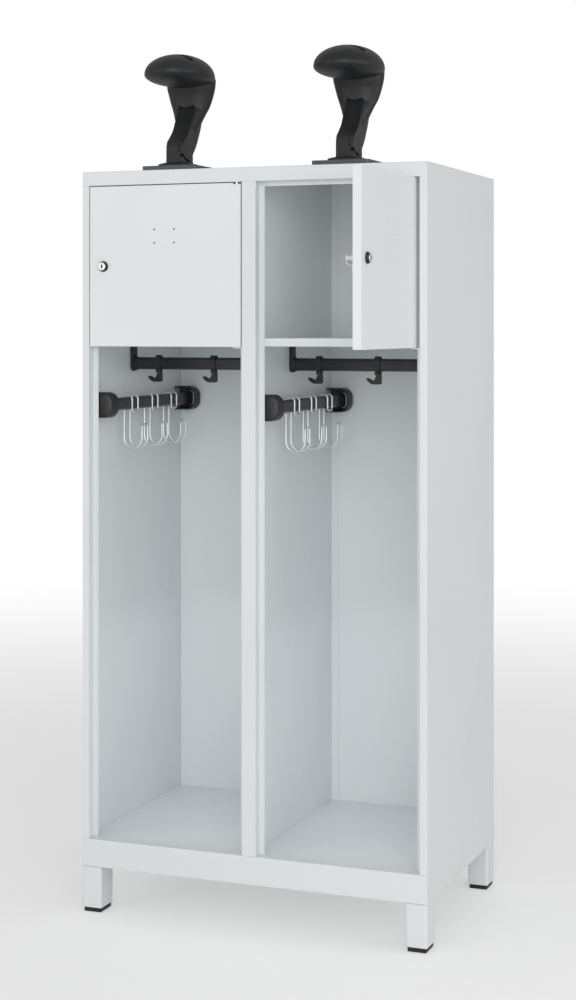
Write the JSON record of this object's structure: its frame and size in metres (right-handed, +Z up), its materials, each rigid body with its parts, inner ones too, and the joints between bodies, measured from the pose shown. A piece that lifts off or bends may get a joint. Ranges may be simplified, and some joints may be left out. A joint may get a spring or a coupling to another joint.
{
  "type": "firefighter gear locker",
  "caption": "Two-bay sheet-steel gear locker on legs with lockable upper compartments, open hanging bays, hook rails, garment rods and helmet holders on the roof.",
  "frame": {"origin": "on the floor, at the middle of the whole object's footprint with the right door open at a right angle; the cabinet itself is set back from it by half the door's reach", "axes": "+Z up, +X to the right of a person facing the doors, the front faces -Y"},
  "size_m": [0.9, 0.9898, 2.1443],
  "materials": {
    "grey_paint": "light grey powder coat, satin, with a very fine orange peel",
    "black_painted_tube": "black powder coat, satin",
    "black_moulding": "black moulded nylon, fine texture",
    "holder_plastic": "black moulded plastic, soft sheen",
    "dark_plate": "dark grey painted plate",
    "wire": "bright plated round wire",
    "zinc_plate": "bright zinc plating"
  },
  "bodies": {
    "carcass": {"left_side_panel": "grey_paint", "right_side_panel": "grey_paint", "centre_partition": "grey_paint", "roof_panel": "grey_paint", "back_panel": "grey_paint", "base_tray": "grey_paint", "front_left_leg": "grey_paint", "front_left_leg_cap": "black_moulding", "front_right_leg": "grey_paint", "front_right_leg_cap": "black_moulding", "rear_left_leg": "grey_paint", "rear_left_leg_cap": "black_moulding", "rear_right_leg": "grey_paint", "rear_right_leg_cap": "black_moulding", "left_shelf": "grey_paint", "left_hook_rail": "black_painted_tube", "left_rail_bracket_inner": "black_moulding", "left_rail_bracket_outer": "black_moulding", "left_garment_rod": "black_painted_tube", "left_rod_cup_front": "black_moulding", "left_rod_cup_rear": "black_moulding", "left_upper_hinge_pin": "zinc_plate", "left_lower_hinge_bracket": "grey_paint", "left_helmet_holder_plate": "dark_plate", "left_helmet_holder_stem": "holder_plastic", "left_helmet_holder_head": "holder_plastic", "right_shelf": "grey_paint", "right_hook_rail": "black_painted_tube", "right_rail_bracket_inner": "black_moulding", "right_rail_bracket_outer": "black_moulding", "right_garment_rod": "black_painted_tube", "right_rod_cup_front": "black_moulding", "right_rod_cup_rear": "black_moulding", "right_upper_hinge_pin": "zinc_plate", "right_lower_hinge_bracket": "grey_paint", "right_helmet_holder_plate": "dark_plate", "right_helmet_holder_stem": "holder_plastic", "right_helmet_holder_head": "holder_plastic"},
    "left_door": {"left_door": "grey_paint", "left_lock_housing": "zinc_plate"},
    "left_lock_cam_set": {"left_lock_plug": "zinc_plate", "left_lock_cam": "zinc_plate"},
    "left_coat_clip_1": {"left_coat_clip_1": "black_moulding"},
    "left_swivel_hook_1": {"left_swivel_hook_1": "black_moulding"},
    "left_coat_clip_2": {"left_coat_clip_2": "black_moulding"},
    "left_swivel_hook_2": {"left_swivel_hook_2": "black_moulding"},
    "left_wire_hook_1": {"left_wire_hook_1": "wire"},
    "left_wire_hook_2": {"left_wire_hook_2": "wire"},
    "left_wire_hook_3": {"left_wire_hook_3": "wire"},
    "right_door": {"right_door": "grey_paint", "right_lock_housing": "zinc_plate"},
    "right_lock_cam_set": {"right_lock_plug": "zinc_plate", "right_lock_cam": "zinc_plate"},
    "right_coat_clip_1": {"right_coat_clip_1": "black_moulding"},
    "right_swivel_hook_1": {"right_swivel_hook_1": "black_moulding"},
    "right_coat_clip_2": {"right_coat_clip_2": "black_moulding"},
    "right_swivel_hook_2": {"right_swivel_hook_2": "black_moulding"},
    "right_wire_hook_1": {"right_wire_hook_1": "wire"},
    "right_wire_hook_2": {"right_wire_hook_2": "wire"},
    "right_wire_hook_3": {"right_wire_hook_3": "wire"}
  },
  "joints": [
    {"name": "left_door_hinge", "type": "hinge", "parent": "carcass", "child": "left_door", "pos_m": [-0.0331, -0.0991, 1.6131], "axis": [0, 0, 1], "range_deg": [0, 110]},
    {"name": "right_door_hinge", "type": "hinge", "parent": "carcass", "child": "right_door", "pos_m": [0.4169, -0.0991, 1.6131], "axis": [0, 0, 1], "range_deg": [-90, 20]},
    {"name": "left_lock_turn", "type": "hinge", "parent": "left_door", "child": "left_lock_cam_set", "pos_m": [-0.3919, -0.1051, 1.6131], "axis": [0, 1, 0], "range_deg": [0, 90]},
    {"name": "right_lock_turn", "type": "hinge", "parent": "right_door", "child": "right_lock_cam_set", "pos_m": [0.4229, -0.4579, 1.6131], "axis": [-1, 0, 0], "range_deg": [0, 90]},
    {"name": "left_coat_clip_slide_1", "type": "slide", "parent": "carcass", "child": "left_coat_clip_1", "axis": [1, 0, 0], "range_m": [-0.04, 0.04]},
    {"name": "left_swivel_turn_1", "type": "hinge", "parent": "left_coat_clip_1", "child": "left_swivel_hook_1", "pos_m": [-0.3698, 0.1749, 1.34], "axis": [0, 0, 1], "continuous": true},
    {"name": "left_coat_clip_slide_2", "type": "slide", "parent": "carcass", "child": "left_coat_clip_2", "axis": [1, 0, 0], "range_m": [-0.04, 0.15]},
    {"name": "left_swivel_turn_2", "type": "hinge", "parent": "left_coat_clip_2", "child": "left_swivel_hook_2", "pos_m": [-0.2128, 0.1749, 1.34], "axis": [0, 0, 1], "continuous": true},
    {"name": "left_wire_hook_slide_1", "type": "slide", "parent": "carcass", "child": "left_wire_hook_1", "axis": [0, 1, 0], "range_m": [-0.035, 0.035]},
    {"name": "left_wire_hook_slide_2", "type": "slide", "parent": "carcass", "child": "left_wire_hook_2", "axis": [0, 1, 0], "range_m": [-0.035, 0.035]},
    {"name": "left_wire_hook_slide_3", "type": "slide", "parent": "carcass", "child": "left_wire_hook_3", "axis": [0, 1, 0], "range_m": [-0.035, 0.035]},
    {"name": "right_coat_clip_slide_1", "type": "slide", "parent": "carcass", "child": "right_coat_clip_1", "axis": [1, 0, 0], "range_m": [-0.04, 0.04]},
    {"name": "right_swivel_turn_1", "type": "hinge", "parent": "right_coat_clip_1", "child": "right_swivel_hook_1", "pos_m": [0.0796, 0.1749, 1.34], "axis": [0, 0, 1], "continuous": true},
    {"name": "right_coat_clip_slide_2", "type": "slide", "parent": "carcass", "child": "right_coat_clip_2", "axis": [1, 0, 0], "range_m": [-0.04, 0.15]},
    {"name": "right_swivel_turn_2", "type": "hinge", "parent": "right_coat_clip_2", "child": "right_swivel_hook_2", "pos_m": [0.2366, 0.1749, 1.34], "axis": [0, 0, 1], "continuous": true},
    {"name": "right_wire_hook_slide_1", "type": "slide", "parent": "carcass", "child": "right_wire_hook_1", "axis": [0, 1, 0], "range_m": [-0.035, 0.035]},
    {"name": "right_wire_hook_slide_2", "type": "slide", "parent": "carcass", "child": "right_wire_hook_2", "axis": [0, 1, 0], "range_m": [-0.035, 0.035]},
    {"name": "right_wire_hook_slide_3", "type": "slide", "parent": "carcass", "child": "right_wire_hook_3", "axis": [0, 1, 0], "range_m": [-0.035, 0.035]}
  ]
}
